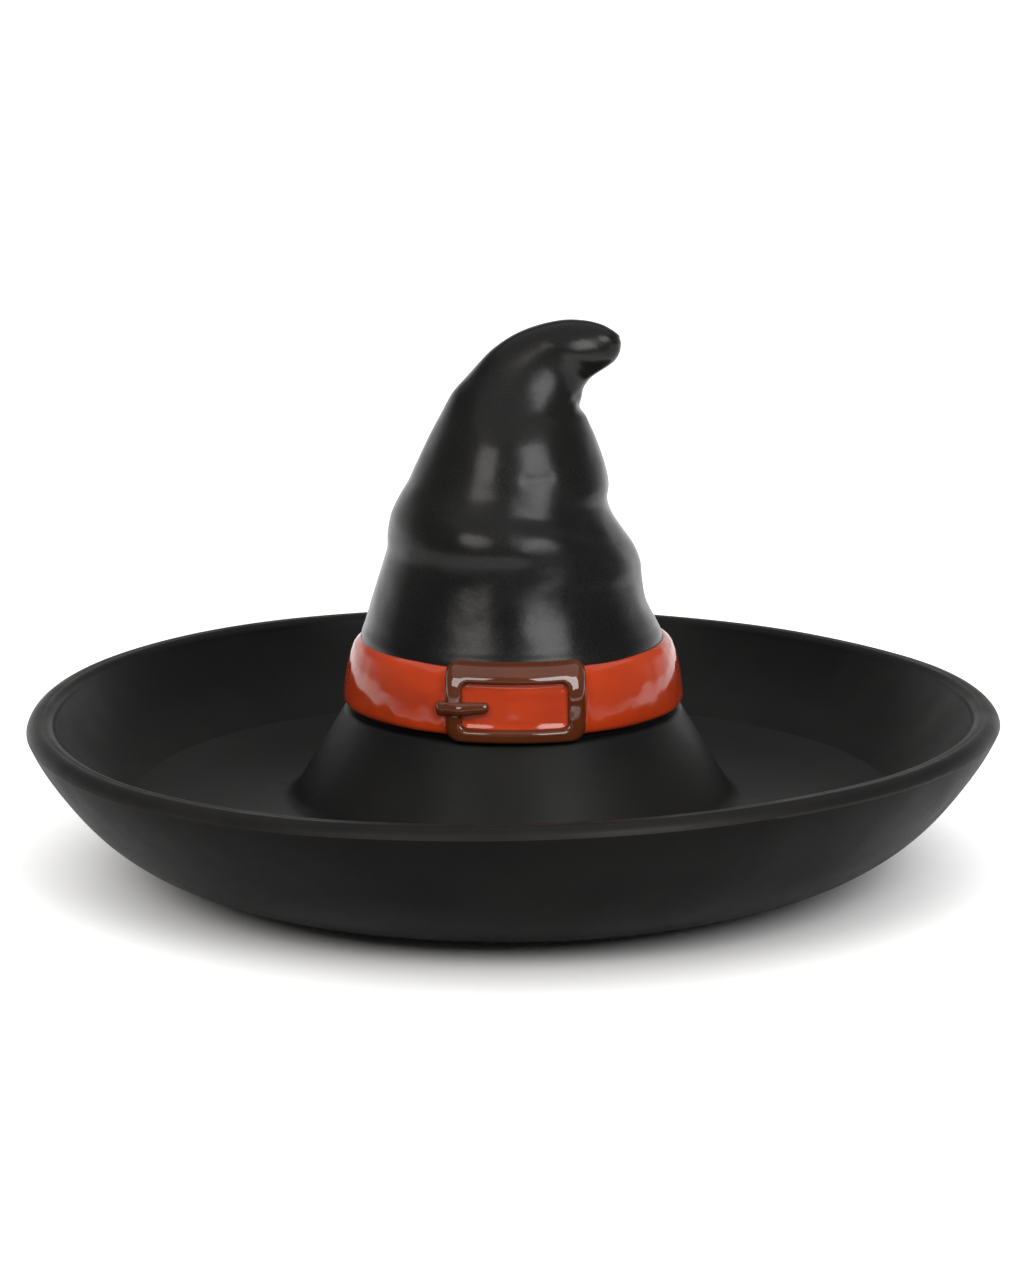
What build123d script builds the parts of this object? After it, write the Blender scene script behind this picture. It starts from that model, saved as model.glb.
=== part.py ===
"""Ceramic serving tray shaped like a witch hat: a wide upturned brim for chips, a dip well in a
central cone, and the hat's crown as a hollow lift-off lid with a glazed band and buckle.

Millimetres, +Z up. The origin is on the table under the middle of the tray, and the front of
the hat, with its buckle, faces -Y. The crown's tip bends towards +X.
"""

from build123d import *
import math
import os

os.makedirs("parts", exist_ok=True)

# Casting
skin = 4.6  # thickness of the cast clay, in the tray and in the lid

# Brim: a double-skinned casting, its outer wall one big arc that starts flat at the foot
rim_radius = 160.0
rim_height = 52.5
wall_arc = 78.0  # radius of the outer wall's curve
wall_arc_height = 79.0  # height of that curve's centre, above the foot's edge
lip_crest_radius = 154.5  # highest line of the lip
lip_inner_radius = 150.8
lip_inner_height = 50.2
lip_outer_height = 49.0
join_height = 44.0  # where the two skins meet under the lip

# Chip floor
floor_height = 23.5
floor_radius = 125.0  # the floor ends here and the inner wall starts
wall_bulge = 2.4  # how far the inner wall bows out from a straight line
floor_blend = 14.0
wall_foot_radius = 119.0  # the flat floor and the wall's blend meet inside this

# Foot
foot_radius = 88.0
foot_width = 8.0
foot_height = 2.2
foot_taper = 0.6  # each side of the ring leans in by this much towards the table
foot_edge = 0.8
base_taper = 2.0
base_recess = 3.0  # height of the underside within the foot
base_crown = 2.0  # the base is this much higher inside than the wall's foot
wall_bottom = wall_arc_height - wall_arc

# Hub: the cone in the middle of the tray
hub_foot_radius = 80.0  # where the hub's hollow foot runs out into the floor
hub_base_radius = 73.5  # the cone's straight side, carried down to the floor
hub_shoulder_radius = 55.2
hub_height = 52.5
hub_foot_blend = 6.0
hub_shoulder_blend = 2.0

# Dip well: the cup in the hub, whose rim is the lid's seat
seat_height = 56.0
well_rim_radius = 51.5
well_mouth_radius = 46.0
well_floor_radius = 43.0
well_floor_height = 17.0
well_blend = 12.0
well_edge = 0.9

# Lid: its round foot, up to the top of the band
crown_foot_radius = 52.6
band_top = 77.4
crown_band_radius = 49.2

# Lid: locating collar
collar_radius = 45.2
collar_inner_radius = 42.0
collar_depth = 8.5
flange_height = 4.0
collar_edge = 1.0

# Crown above the band: centre x, height, lean in degrees towards +X, half-width and half-depth
crown_sections = [
    (-0.2, 86.6, 0.0, 45.3, 45.3),
    (0.2, 97.0, 0.0, 42.4, 42.6),
    (0.2, 105.5, 0.0, 40.5, 41.2),
    (-1.4, 114.0, 0.0, 37.2, 39.0),
    (-2.2, 121.5, 0.0, 34.4, 36.0),
    (0.0, 132.0, 0.0, 31.4, 32.0),
    (0.6, 143.0, 0.0, 26.8, 27.5),
    (1.6, 156.0, 2.0, 21.4, 21.8),
    (5.0, 162.0, 6.0, 18.8, 19.2),
    (10.9, 168.3, 18.0, 15.9, 16.0),
    (18.6, 173.2, 34.0, 12.4, 12.6),
    (25.8, 175.2, 51.0, 9.4, 9.6),
    (31.4, 175.7, 64.0, 6.4, 6.6),
]
tip_point = (35.6, 0.0, 174.8)
cavity_sections = 11  # the hollow stops in the bend of the tip

# Band
band_bulge_radius = 55.9  # widest, near the bottom
band_bulge_height = 57.6
band_under_radius = 54.4
band_middle = (54.9, 66.0)
band_shoulder = (52.0, 75.6)
band_top_radius = 50.5
band_shoulder_blend = 1.1

# Buckle frame, centred a little to the right of the front
buckle_center = 0.8
buckle_width = 45.2
buckle_bottom = 54.4
buckle_top = 79.4
buckle_corner = 4.6
window_left = -16.1
window_right = 17.2
window_bottom = 59.2
window_top = 73.0
window_corner = 1.6
buckle_rise = 3.0  # how far it stands off the band
buckle_round = 0.9
envelope_overrun = 1.5  # above and below the frame

# Prong across the frame's left bar
prong_left = -24.9
prong_right = -7.7
prong_height = 65.0
prong_thickness = 4.4
prong_end_thickness = 3.2
prong_round = 1.3
prong_rise = 4.6  # off the band, so it passes over the frame
prong_climb = 0.9  # its right end is this much higher


def point_beside(start, end, distance):
    """Middle of the line from start to end, moved sideways to its right by distance."""
    along = (end[0] - start[0], end[1] - start[1])
    length = math.hypot(*along)
    middle = ((start[0] + end[0]) / 2, (start[1] + end[1]) / 2)
    return (
        middle[0] + along[1] / length * distance,
        middle[1] - along[0] / length * distance,
    )


def wall_radius_at(height, radius=wall_arc):
    """Radius of the outer wall's curve, or of one inside it, at a height."""
    return foot_radius + math.sqrt(radius**2 - (wall_arc_height - height) ** 2)


def wall_point_at(height):
    """Point on the outer wall's curve at a height."""
    return (wall_radius_at(height), height)


def wall_point(degrees, radius=wall_arc):
    """Point on the outer wall's curve, by its angle up from the foot."""
    angle = math.radians(degrees)
    return (
        foot_radius + radius * math.sin(angle),
        wall_arc_height - radius * math.cos(angle),
    )


lip_outer = wall_point_at(lip_outer_height)
join_outer = wall_point_at(join_height)
join_inner = (wall_radius_at(join_height, wall_arc - skin), join_height)
floor_end = (floor_radius, floor_height)
lip_inner = (lip_inner_radius, lip_inner_height)
lip_inner_round = (lip_inner_radius + 1.1, rim_height - 0.55)
lip_outer_round = (lip_crest_radius + 4.1, rim_height - 1.2)
under_floor = floor_height - skin
under_floor_end = (floor_radius + 1.5, under_floor)


# -------------------------------------------------------------- chip_floor
# Flat ring of the brim between the hub and the wall.
with BuildPart() as chip_floor:
    with BuildSketch(Plane.XY.offset(under_floor)):
        Circle(wall_foot_radius)
        Circle(hub_foot_radius, mode=Mode.SUBTRACT)
    extrude(amount=skin)
chip_floor.part.label = "chip_floor"
export_step(chip_floor.part, "parts/chip_floor.step")

# -------------------------------------------------------------- brim_inner
# Inner wall, which rises from the chip floor, and the rounded lip.
with BuildPart() as brim_inner:
    with BuildSketch(Plane.XZ) as section:
        with BuildLine():
            Line((wall_foot_radius, under_floor), (wall_foot_radius, floor_height))
            Line((wall_foot_radius, floor_height), floor_end)
            ThreePointArc(floor_end, point_beside(floor_end, lip_inner, wall_bulge), lip_inner)
            ThreePointArc(lip_inner, lip_inner_round, (lip_crest_radius, rim_height))
            ThreePointArc((lip_crest_radius, rim_height), lip_outer_round, lip_outer)
            ThreePointArc(lip_outer, wall_point_at((lip_outer_height + join_height) / 2), join_outer)
            Line(join_outer, join_inner)
            ThreePointArc(
                join_inner,
                point_beside(under_floor_end, join_inner, wall_bulge),
                under_floor_end,
            )
            Line(under_floor_end, (wall_foot_radius, under_floor))
        make_face()
        fillet(section.vertices().sort_by_distance(floor_end)[0], floor_blend)
    revolve(axis=Axis.Z)
brim_inner.part.label = "brim_inner"
export_step(brim_inner.part, "parts/brim_inner.step")

# -------------------------------------------------------------- brim_outer
# Outer wall, one arc from under the lip down to the foot.
with BuildPart() as brim_outer:
    with BuildSketch(Plane.XZ):
        with BuildLine():
            Line(join_inner, join_outer)
            ThreePointArc(join_outer, wall_point(32.0), (foot_radius, wall_bottom))
            Line((foot_radius, wall_bottom), (foot_radius, wall_bottom + skin))
            ThreePointArc(
                (foot_radius, wall_bottom + skin), wall_point(32.0, wall_arc - skin), join_inner
            )
        make_face()
    revolve(axis=Axis.Z)
brim_outer.part.label = "brim_outer"
export_step(brim_outer.part, "parts/brim_outer.step")

# -------------------------------------------------------------------- base
# Underside of the tray within the wall, recessed inside the foot ring.
with BuildPart() as base:
    with BuildSketch(Plane.XZ):
        with BuildLine():
            Polyline(
                (foot_radius, foot_height),
                (foot_radius - foot_width, foot_height),
                (foot_radius - foot_width - base_taper, base_recess),
                (0.0, base_recess),
                (0.0, wall_bottom + skin + base_crown),
                (foot_radius - foot_width - base_taper, wall_bottom + skin + base_crown),
                (foot_radius, wall_bottom + skin),
                close=True,
            )
        make_face()
    revolve(axis=Axis.Z)
base.part.label = "base"
export_step(base.part, "parts/base.step")

# --------------------------------------------------------------- foot_ring
# The unglazed ring that the tray stands on.
with BuildPart() as foot_ring:
    with BuildSketch(Plane.XZ) as section:
        with BuildLine():
            Polyline(
                (foot_radius - foot_width, foot_height),
                (foot_radius, foot_height),
                (foot_radius, wall_bottom),
                (foot_radius - foot_taper, 0.0),
                (foot_radius - foot_width + foot_taper, 0.0),
                close=True,
            )
        make_face()
        fillet(section.vertices().group_by(Axis.Y)[0], foot_edge)
    revolve(axis=Axis.Z)
foot_ring.part.label = "foot_ring"
export_step(foot_ring.part, "parts/foot_ring.step")

# --------------------------------------------------------------------- hub
# Hollow cone that rises from the chip floor to the well's neck.
side_slope = (hub_height - floor_height) / (hub_base_radius - hub_shoulder_radius)
inner_shift = skin * math.hypot(1.0, side_slope) / side_slope
with BuildPart() as hub:
    with BuildSketch(Plane.XZ) as section:
        with BuildLine():
            Polyline(
                (hub_foot_radius, under_floor),
                (hub_foot_radius, floor_height),
                (hub_base_radius, floor_height),
                (hub_shoulder_radius, hub_height),
                (well_rim_radius, hub_height),
                (well_rim_radius, hub_height - skin),
                (hub_shoulder_radius - inner_shift + skin / side_slope, hub_height - skin),
                (hub_base_radius - inner_shift + skin / side_slope, under_floor),
                close=True,
            )
        make_face()
        foot_corner = section.vertices().sort_by_distance((hub_base_radius, floor_height))[0]
        fillet(foot_corner, hub_foot_blend)
        shoulder = section.vertices().sort_by_distance((hub_shoulder_radius, hub_height))[0]
        fillet(shoulder, hub_shoulder_blend)
    revolve(axis=Axis.Z)
hub.part.label = "hub"
export_step(hub.part, "parts/hub.step")

# ---------------------------------------------------------------- dip_well
# Cup for the dip. Its rim stands above the hub's shoulder, and the lid rests on it.
with BuildPart() as dip_well:
    with BuildSketch(Plane.XZ) as section:
        with BuildLine():
            Polyline(
                (0.0, well_floor_height),
                (well_floor_radius, well_floor_height),
                (well_mouth_radius, seat_height),
                (well_rim_radius, seat_height),
                (well_rim_radius, hub_height - skin),
                (well_floor_radius + skin, well_floor_height - skin),
                (0.0, well_floor_height - skin),
                close=True,
            )
        make_face()
        floor_corner = (well_floor_radius, well_floor_height)
        fillet(section.vertices().sort_by_distance(floor_corner)[0], well_blend)
        low_corner = (well_floor_radius + skin, well_floor_height - skin)
        fillet(section.vertices().sort_by_distance(low_corner)[0], well_blend + skin)
        fillet(section.vertices().group_by(Axis.Y)[-1], well_edge)
    revolve(axis=Axis.Z)
dip_well.part.label = "dip_well"
export_step(dip_well.part, "parts/dip_well.step")


def crown_loft(inset, low_height, low_radius, join_radius, count, tip=None):
    """Solid of the crown's shape, drawn in by inset: a cone behind the band, then the bends."""
    with BuildPart() as shape:
        with BuildSketch(Plane.XZ):
            with BuildLine():
                Polyline(
                    (0.0, low_height),
                    (low_radius, low_height),
                    (join_radius, band_top),
                    (0.0, band_top),
                    close=True,
                )
            make_face()
        revolve(axis=Axis.Z)
        with BuildSketch(Plane.XY.offset(band_top)) as start:
            Circle(join_radius)
        sections = [start.sketch]
        for x, z, lean, half_width, half_depth in crown_sections[:count]:
            angle = math.radians(lean)
            plane = Plane(
                origin=(x, 0, z),
                x_dir=(math.cos(angle), 0, -math.sin(angle)),
                z_dir=(math.sin(angle), 0, math.cos(angle)),
            )
            with BuildSketch(plane) as slice_:
                Ellipse(half_width - inset, half_depth - inset)
            sections.append(slice_.sketch)
        if tip:
            sections.append(Vertex(*tip))
        loft(sections=sections)
    return shape.part


# ------------------------------------------------------------------- crown
# Hollow lid: the bent cone of the hat, open at its round foot.
crown_inner_foot = crown_foot_radius - skin
crown_inner_band = crown_band_radius - skin
crown_outside = crown_loft(
    0.0, seat_height, crown_foot_radius, crown_band_radius, len(crown_sections), tip_point
)
crown_inside = crown_loft(
    skin, seat_height, crown_inner_foot, crown_inner_band, cavity_sections
)
with BuildPart() as crown:
    add(crown_outside)
    add(crown_inside, mode=Mode.SUBTRACT)
crown.part.label = "crown"
export_step(crown.part, "parts/crown.step")

# -------------------------------------------------------------- lid_collar
# Flange across the crown's foot, with the collar that keeps the lid in the well's mouth.
flange_top = seat_height + flange_height
inner_taper = (crown_inner_foot - crown_inner_band) / (band_top - seat_height)
with BuildPart() as lid_collar:
    with BuildSketch(Plane.XZ) as section:
        with BuildLine():
            Polyline(
                (collar_inner_radius, seat_height - collar_depth),
                (collar_radius, seat_height - collar_depth),
                (collar_radius, seat_height),
                (crown_inner_foot, seat_height),
                (crown_inner_foot - inner_taper * flange_height, flange_top),
                (collar_inner_radius, flange_top),
                close=True,
            )
        make_face()
        fillet(section.vertices().group_by(Axis.Y)[0], collar_edge)
    revolve(axis=Axis.Z)
lid_collar.part.label = "lid_collar"
export_step(lid_collar.part, "parts/lid_collar.step")

# ---------------------------------------------------------------- hat_band
# Raised band round the crown's foot, fullest near the bottom.
with BuildPart() as hat_band:
    with BuildSketch(Plane.XZ) as section:
        with BuildLine():
            Line((crown_foot_radius, seat_height), (band_under_radius, seat_height))
            Line((band_under_radius, seat_height), (band_bulge_radius, band_bulge_height))
            Spline((band_bulge_radius, band_bulge_height), band_middle, band_shoulder)
            Line(band_shoulder, (band_top_radius, band_top))
            Line((band_top_radius, band_top), (crown_band_radius, band_top))
            Line((crown_band_radius, band_top), (crown_foot_radius, seat_height))
        make_face()
        bulge_corner = (band_bulge_radius, band_bulge_height)
        fillet(section.vertices().sort_by_distance(bulge_corner)[0], band_shoulder_blend)
        fillet(section.vertices().sort_by_distance(band_shoulder)[0], band_shoulder_blend)
    revolve(axis=Axis.Z)
hat_band.part.label = "hat_band"
export_step(hat_band.part, "parts/hat_band.step")


def front_envelope(rise):
    """Solid of revolution a given rise outside the band, leaning in over its top edge."""
    foot = (band_bulge_radius + rise, buckle_bottom - envelope_overrun)
    middle = (band_middle[0] + rise, band_middle[1])
    top = (band_top_radius + rise, buckle_top + envelope_overrun)
    with BuildPart() as envelope:
        with BuildSketch(Plane.XZ):
            with BuildLine():
                ThreePointArc(foot, middle, top)
                Polyline(top, (0.0, top[1]), (0.0, foot[1]), foot)
            make_face()
        revolve(axis=Axis.Z)
    return envelope.part


front_plane = Plane.XZ.offset(band_bulge_radius + 10.0)  # clear of the buckle, in front
front_depth = 30.0  # from there to well inside the crown

# ------------------------------------------------------------ buckle_frame
# Rounded rectangle that wraps round the front of the band and leans on the crown above it.
frame_middle = (buckle_bottom + buckle_top) / 2
window_middle = ((window_left + window_right) / 2, (window_bottom + window_top) / 2)
with BuildPart() as buckle_frame:
    with BuildSketch(front_plane):
        with Locations((buckle_center, frame_middle)):
            RectangleRounded(buckle_width, buckle_top - buckle_bottom, buckle_corner)
        with Locations(window_middle):
            RectangleRounded(
                window_right - window_left,
                window_top - window_bottom,
                window_corner,
                mode=Mode.SUBTRACT,
            )
    extrude(amount=-front_depth)
    add(front_envelope(buckle_rise), mode=Mode.INTERSECT)
    front_edges = buckle_frame.faces().sort_by(Axis.Y)[0].edges()
    fillet(front_edges, buckle_round)
    add(hat_band.part, mode=Mode.SUBTRACT)
    add(crown_outside, mode=Mode.SUBTRACT)
    with BuildSketch(Plane.XY.offset(seat_height)):
        Circle(band_under_radius)
    extrude(amount=buckle_bottom - seat_height - envelope_overrun, mode=Mode.SUBTRACT)
buckle_frame.part.label = "buckle_frame"
export_step(buckle_frame.part, "parts/buckle_frame.step")

# ------------------------------------------------------------ buckle_prong
# Small tongue over the frame's left bar, tapering to its right end.
half = prong_thickness / 2
half_end = prong_end_thickness / 2
end_height = prong_height + prong_climb
with BuildPart() as buckle_prong:
    with BuildSketch(front_plane) as section:
        with BuildLine():
            Polyline(
                (prong_left, prong_height - half),
                (prong_right, end_height - half_end),
                (prong_right, end_height + half_end),
                (prong_left, prong_height + half),
                close=True,
            )
        make_face()
        fillet(section.vertices(), prong_round)
    extrude(amount=-front_depth)
    add(front_envelope(prong_rise), mode=Mode.INTERSECT)
    add(buckle_frame.part, mode=Mode.SUBTRACT)
    add(hat_band.part, mode=Mode.SUBTRACT)
    add(crown_outside, mode=Mode.SUBTRACT)
buckle_prong.part.label = "buckle_prong"
export_step(buckle_prong.part, "parts/buckle_prong.step")
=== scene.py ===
"""Looks for the ceramic witch hat chip and dip server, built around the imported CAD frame.

Shapes are written in millimetres in the CAD frame (+Z up, buckle towards -Y, tip towards +X)
and scaled to metres as each mesh is made.
"""
import math

import bmesh
import bpy
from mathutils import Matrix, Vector, noise


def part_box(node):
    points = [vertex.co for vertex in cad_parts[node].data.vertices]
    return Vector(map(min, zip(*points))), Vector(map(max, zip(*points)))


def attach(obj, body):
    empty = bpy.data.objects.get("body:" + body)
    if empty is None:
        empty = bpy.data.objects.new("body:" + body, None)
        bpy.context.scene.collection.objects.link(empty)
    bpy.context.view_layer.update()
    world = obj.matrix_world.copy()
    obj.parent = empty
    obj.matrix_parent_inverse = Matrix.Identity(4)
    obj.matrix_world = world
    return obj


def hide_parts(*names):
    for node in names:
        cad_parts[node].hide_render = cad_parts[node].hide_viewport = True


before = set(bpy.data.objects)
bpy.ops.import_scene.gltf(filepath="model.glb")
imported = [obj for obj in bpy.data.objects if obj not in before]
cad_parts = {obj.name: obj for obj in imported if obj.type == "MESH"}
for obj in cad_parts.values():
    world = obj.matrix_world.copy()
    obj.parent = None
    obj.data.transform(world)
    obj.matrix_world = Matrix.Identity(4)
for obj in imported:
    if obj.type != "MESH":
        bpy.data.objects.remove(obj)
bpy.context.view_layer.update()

MM = 0.001


def box_mm(node):
    """Lowest and highest corner of a CAD node, in millimetres."""
    low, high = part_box(node)
    return Vector(low) / MM, Vector(high) / MM


def top_mm(node):
    """Highest corner of a CAD node, in millimetres."""
    return box_mm(node)[1]


# ------------------------------------------------------------------ sizes, from the frame
rim_radius, rim_height = top_mm("brim_inner").xz
wall_join = top_mm("brim_outer").z  # where the two skins meet under the lip
floor_low, floor_high = box_mm("chip_floor")
floor_height, under_floor = floor_high.z, floor_low.z
skin = floor_height - under_floor  # thickness of the clay
foot_radius, foot_height = top_mm("foot_ring").xz
base_low, base_high = box_mm("base")
hub_foot_radius, hub_height = top_mm("hub").xz
well_low, well_high = box_mm("dip_well")
well_rim_radius, seat_height = well_high.xz
crown_foot_radius = top_mm("crown").x
band_radius, band_top = top_mm("hat_band").xz
collar_low, collar_high = box_mm("lid_collar")

# ------------------------------------------------------------------ outlines


def rounded(corners, step=1.2):
    """Open outline through (r, z, blend) corners: straight runs, with an arc at each blend."""
    points = []
    last = len(corners) - 1
    facet = math.radians(7)
    for i, (r, z, blend) in enumerate(corners):
        here = Vector((r, z))
        if i in (0, last) or blend == 0:
            points.append(here)
            continue
        before = Vector(corners[i - 1][:2]) - here
        after = Vector(corners[i + 1][:2]) - here
        half_turn = before.angle(after) / 2
        reach = blend / math.tan(half_turn)
        start = here + before.normalized() * reach
        end = here + after.normalized() * reach
        centre = here + (before.normalized() + after.normalized()).normalized() * (
            blend / math.sin(half_turn)
        )
        count = max(3, int((math.pi - 2 * half_turn) / facet))
        for k in range(count + 1):
            t = k / count
            chord = start.lerp(end, t)
            points.append(centre + (chord - centre).normalized() * blend)
    return subdivided(points, step)


def subdivided(points, step):
    """The same outline with no run longer than step."""
    result = [points[0]]
    for a, b in zip(points, points[1:]):
        count = max(1, math.ceil((b - a).length / step))
        result += [a.lerp(b, k / count) for k in range(1, count + 1)]
    return result


def arc_through(start, end, bulge, count=40):
    """Arc from start to end that bows out to the right of the way it runs, by bulge."""
    a, b = Vector(start), Vector(end)
    half = (b - a) / 2
    right = Vector((half.y, -half.x)).normalized()
    radius = (half.length**2 + bulge**2) / (2 * bulge)
    centre = a + half - right * (radius - bulge)
    sweep = math.asin(half.length / radius)
    points = []
    for k in range(count + 1):
        angle = sweep * (2 * k / count - 1)
        along = half.normalized() * math.sin(angle) * radius
        points.append(centre + right * math.cos(angle) * radius + along)
    return points


def arc_points(start, middle, end, count):
    """Points of the arc from start to end through middle, both ends included."""
    a, b, c = Vector(start), Vector(middle), Vector(end)
    u, v = b - a, c - a
    cross = 2 * (u.x * v.y - u.y * v.x)
    u2, v2 = u.length_squared, v.length_squared
    centre = a + Vector((v.y * u2 - u.y * v2, u.x * v2 - v.x * u2)) / cross
    radius = (a - centre).length
    first = math.atan2(a.y - centre.y, a.x - centre.x)
    turn = math.atan2(c.y - centre.y, c.x - centre.x) - first
    turn = math.remainder(turn, math.tau)
    if (cross > 0) != (turn > 0):
        turn += math.tau if cross > 0 else -math.tau
    angles = [first + turn * k / count for k in range(count + 1)]
    return [centre + Vector((math.cos(t), math.sin(t))) * radius for t in angles]


# ------------------------------------------------------------------ mesh helpers


def add_object(name, mesh):
    obj = bpy.data.objects.new(name, mesh)
    bpy.context.scene.collection.objects.link(obj)
    return obj


def skin_rings(name, rings, closed=False, sharp=40.0):
    """Mesh through rings of points, in millimetres. A ring of one point is a pole.

    With closed, the last ring joins the first, as round a tube bent into a loop.
    """
    bm = bmesh.new()
    made = [[bm.verts.new(Vector(p) * MM) for p in ring] for ring in rings]
    pairs = list(zip(made, made[1:]))
    if closed:
        pairs.append((made[-1], made[0]))
    for lower, upper in pairs:
        count = max(len(lower), len(upper))
        for k in range(count):
            n = (k + 1) % count
            if len(lower) == 1:
                bm.faces.new((lower[0], upper[n], upper[k]))
            elif len(upper) == 1:
                bm.faces.new((lower[k], lower[n], upper[0]))
            else:
                bm.faces.new((lower[k], lower[n], upper[n], upper[k]))
    bmesh.ops.recalc_face_normals(bm, faces=bm.faces)
    mesh = bpy.data.meshes.new(name)
    bm.to_mesh(mesh)
    bm.free()
    mesh.shade_smooth()
    mesh.set_sharp_from_angle(angle=math.radians(sharp))
    return add_object(name, mesh)


def lathe(name, outline, segments=192, shape=None):
    """Solid of revolution of an (r, z) outline, each point passed through shape.

    An outline that starts and ends on the axis has a pole at each end. Any other is a closed
    loop, without its first point repeated.
    """
    rings = []
    for r, z in outline:
        if r < 1e-6:
            rings.append([(0.0, 0.0, z)])
            continue
        ring = []
        for k in range(segments):
            angle = math.tau * k / segments
            x, y = r * math.sin(angle), -r * math.cos(angle)
            ring.append(shape(x, y, z) if shape else (x, y, z))
        rings.append(ring)
    poles = len(rings[0]) == 1 and len(rings[-1]) == 1
    return skin_rings(name, rings, closed=not poles)


def settle(obj, body, slot, material, *nodes):
    """Rides obj on a body, in place of CAD nodes, with its material. The slot argument is not
    used.
    """
    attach(obj, body)
    if nodes:
        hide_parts(*nodes)
    obj.data.materials.clear()
    obj.data.materials.append(material)
    return obj


# ------------------------------------------------------------------ materials


class Nodes:
    """Short names for building a node material."""

    def __init__(self, name):
        self.material = bpy.data.materials.new(name)
        self.material.use_nodes = True
        self.tree = self.material.node_tree
        self.shader = self.tree.nodes["Principled BSDF"]
        self.place = self.add("ShaderNodeTexCoord").outputs["Object"]

    def add(self, kind, **settings):
        node = self.tree.nodes.new(kind)
        for key, value in settings.items():
            setattr(node, key, value)
        return node

    def link(self, source, target):
        self.tree.links.new(source, target)

    def noise(self, scale, detail=3.0, roughness=0.5, stretch=None):
        """Noise value at so many features per metre, drawn out along an axis by stretch."""
        node = self.add("ShaderNodeTexNoise")
        node.inputs["Scale"].default_value = scale
        node.inputs["Detail"].default_value = detail
        node.inputs["Roughness"].default_value = roughness
        place = self.place
        if stretch:
            mapping = self.add("ShaderNodeMapping")
            mapping.inputs["Scale"].default_value = stretch
            self.link(place, mapping.inputs["Vector"])
            place = mapping.outputs["Vector"]
        self.link(place, node.inputs["Vector"])
        return node.outputs["Fac"]

    def specks(self, scale, size, seed=0.0):
        """1 in small round specks and 0 between them."""
        node = self.add("ShaderNodeTexVoronoi")
        node.inputs["Scale"].default_value = scale
        node.inputs["Randomness"].default_value = 1.0
        mapping = self.add("ShaderNodeMapping")
        mapping.inputs["Location"].default_value = (seed, seed * 0.7, seed * 1.3)
        self.link(self.place, mapping.inputs["Vector"])
        self.link(mapping.outputs["Vector"], node.inputs["Vector"])
        return self.ramp(node.outputs["Distance"], 0.0, size, 1.0, 0.0)

    def ramp(self, value, low, high, out_low=0.0, out_high=1.0):
        """Smooth step from out_low to out_high as value goes from low to high."""
        node = self.add("ShaderNodeMapRange", interpolation_type="SMOOTHSTEP")
        node.inputs["From Min"].default_value = low
        node.inputs["From Max"].default_value = high
        node.inputs["To Min"].default_value = out_low
        node.inputs["To Max"].default_value = out_high
        self.link(value, node.inputs["Value"])
        return node.outputs["Result"]

    def math(self, operation, a, b):
        """Result of a math operation on two values, each a number or an output."""
        node = self.add("ShaderNodeMath", operation=operation)
        for socket, value in zip(node.inputs, (a, b)):
            if isinstance(value, (int, float)):
                socket.default_value = value
            else:
                self.link(value, socket)
        return node.outputs["Value"]

    def total(self, *values):
        """Sum of the values."""
        result = values[0]
        for value in values[1:]:
            result = self.math("ADD", result, value)
        return result

    def mix(self, factor, first, second):
        """Colour from first to second by factor. Each is a colour or an output."""
        node = self.add("ShaderNodeMix", data_type="RGBA")
        if isinstance(factor, (int, float)):
            node.inputs["Factor"].default_value = factor
        else:
            self.link(factor, node.inputs["Factor"])
        for socket, value in (("A", first), ("B", second)):
            target = next(s for s in node.inputs if s.name == socket and s.type == "RGBA")
            if isinstance(value, tuple):
                target.default_value = (*value, 1.0)
            else:
                self.link(value, target)
        return next(s for s in node.outputs if s.type == "RGBA")

    def axis(self, name):
        """One coordinate of the place, in metres."""
        node = self.add("ShaderNodeSeparateXYZ")
        self.link(self.place, node.inputs["Vector"])
        return node.outputs[name]

    def pointiness(self):
        """Above 0.5 on outer edges and below it in creases."""
        return self.add("ShaderNodeNewGeometry").outputs["Pointiness"]

    def bump(self, *layers):
        """Bump from (height output, depth in metres) layers, one on another."""
        previous = None
        for height, depth in layers:
            node = self.add("ShaderNodeBump")
            node.inputs["Strength"].default_value = 1.0
            node.inputs["Distance"].default_value = depth
            self.link(height, node.inputs["Height"])
            if previous:
                self.link(previous, node.inputs["Normal"])
            previous = node.outputs["Normal"]
        self.link(previous, self.shader.inputs["Normal"])

    def finish(self, color, roughness, **sockets):
        """Colour and roughness outputs, and uniform values set on the shader itself."""
        self.link(color, self.shader.inputs["Base Color"])
        self.link(roughness, self.shader.inputs["Roughness"])
        for name, value in sockets.items():
            self.shader.inputs[name.replace("_", " ")].default_value = value
        return self.material


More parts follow.
